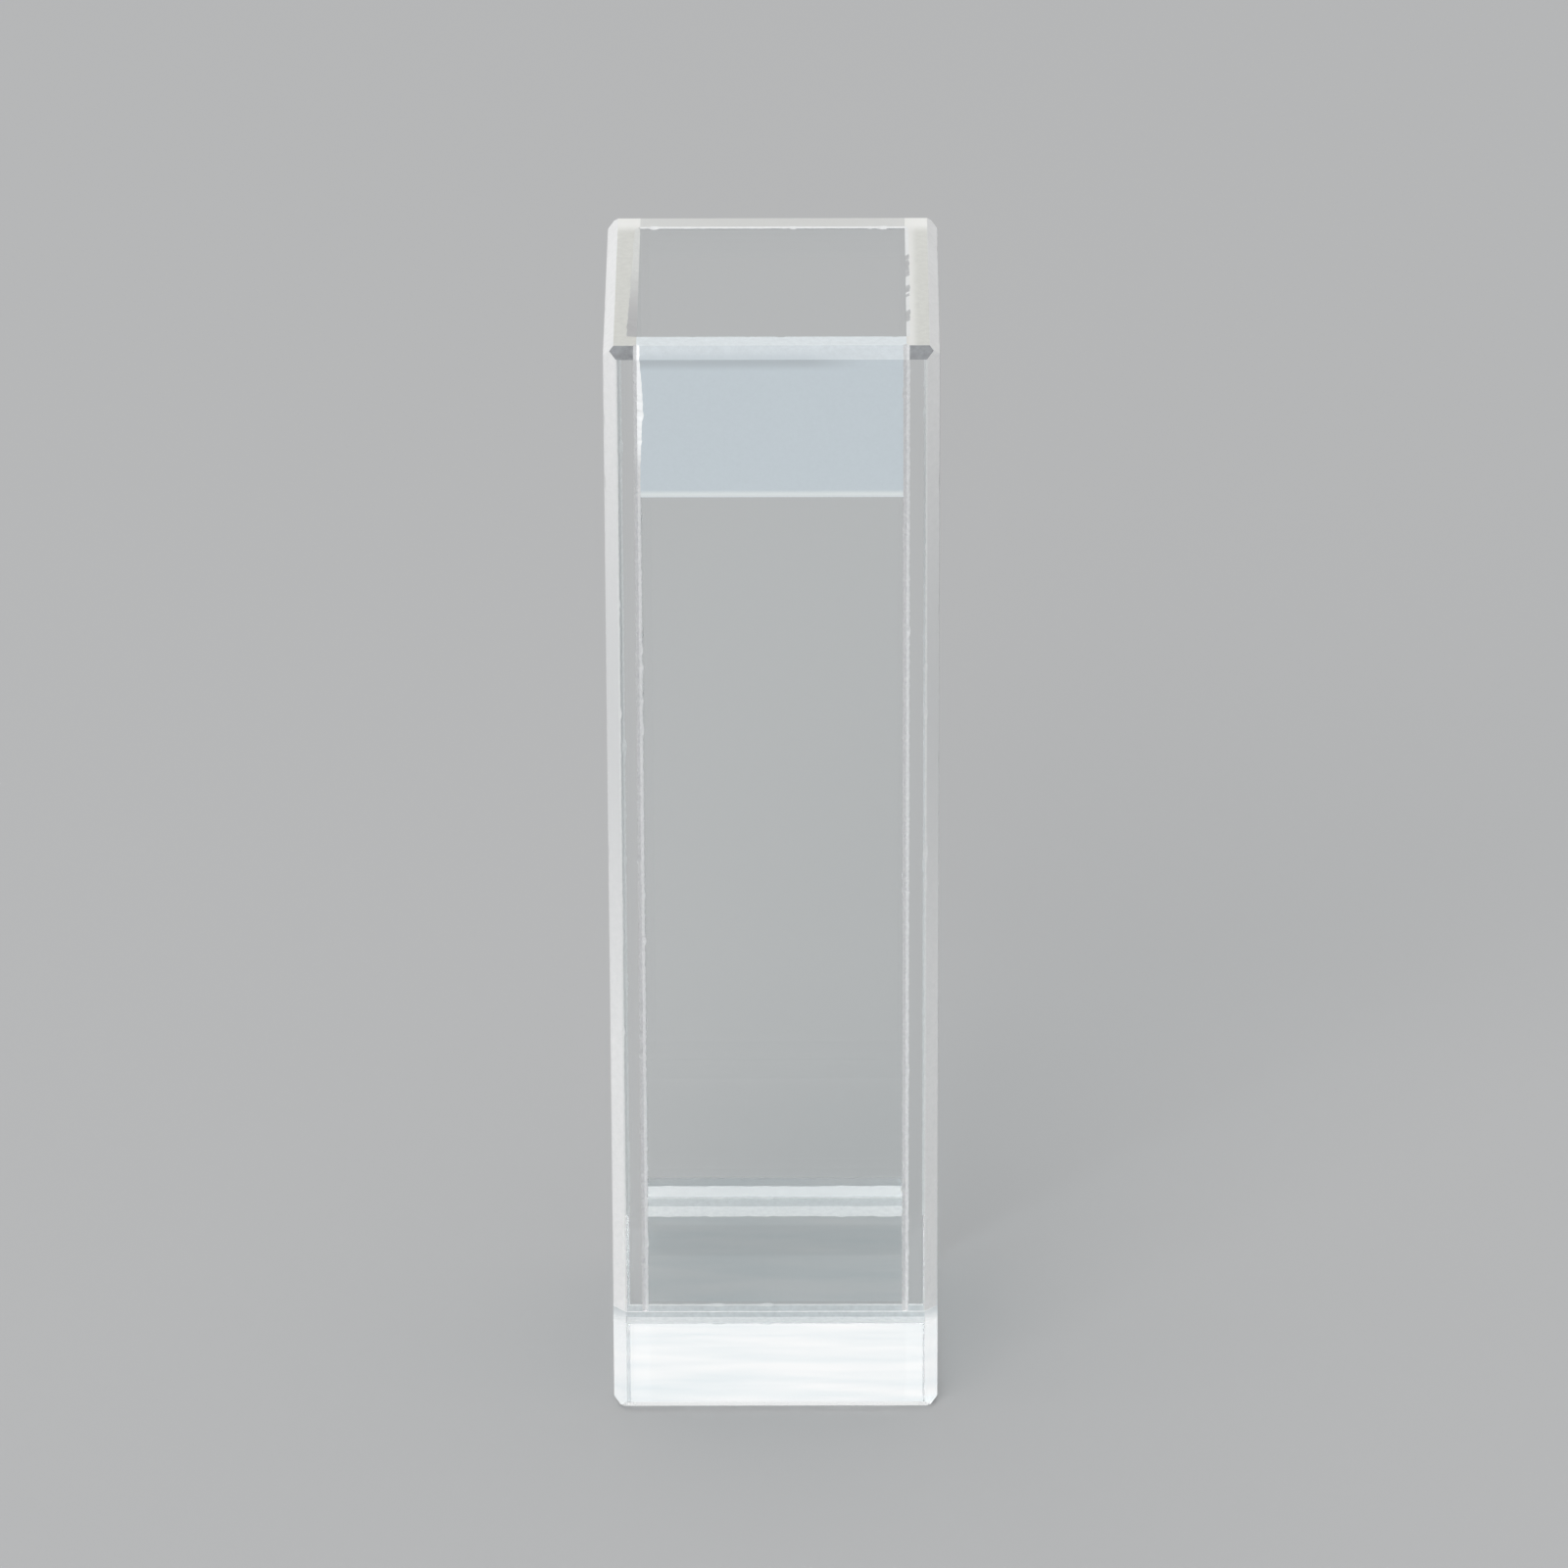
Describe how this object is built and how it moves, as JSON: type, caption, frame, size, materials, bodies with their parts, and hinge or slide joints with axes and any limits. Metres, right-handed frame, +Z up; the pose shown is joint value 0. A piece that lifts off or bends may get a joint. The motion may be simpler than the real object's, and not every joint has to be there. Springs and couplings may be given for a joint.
{
  "type": "square glass cuvette",
  "caption": "Square glass cuvette: clear polished plates fused into an open-topped tube on a thick base plate, with ground rim and edges and a frosted marking band at the top.",
  "frame": {"origin": "centre of the flat underside, on the surface that the cuvette stands on", "axes": "+Z up through the open rim, along the long axis; the front window faces -Y and light passes along Y; the side walls face -X and +X"},
  "size_m": [0.0126, 0.0126, 0.045],
  "materials": {
    "window_glass": "polished faces, with a frosted marking band at the top of the front window's outer face and a ground rim",
    "side_glass": "polished faces, with ground rim and ground bevels on the upright corners",
    "base_glass": "polished sides, with ground bevels round the foot"
  },
  "bodies": {
    "root": {"front_window": "window_glass", "back_window": "window_glass", "left_wall": "side_glass", "right_wall": "side_glass", "base_plate": "base_glass"}
  },
  "joints": []
}
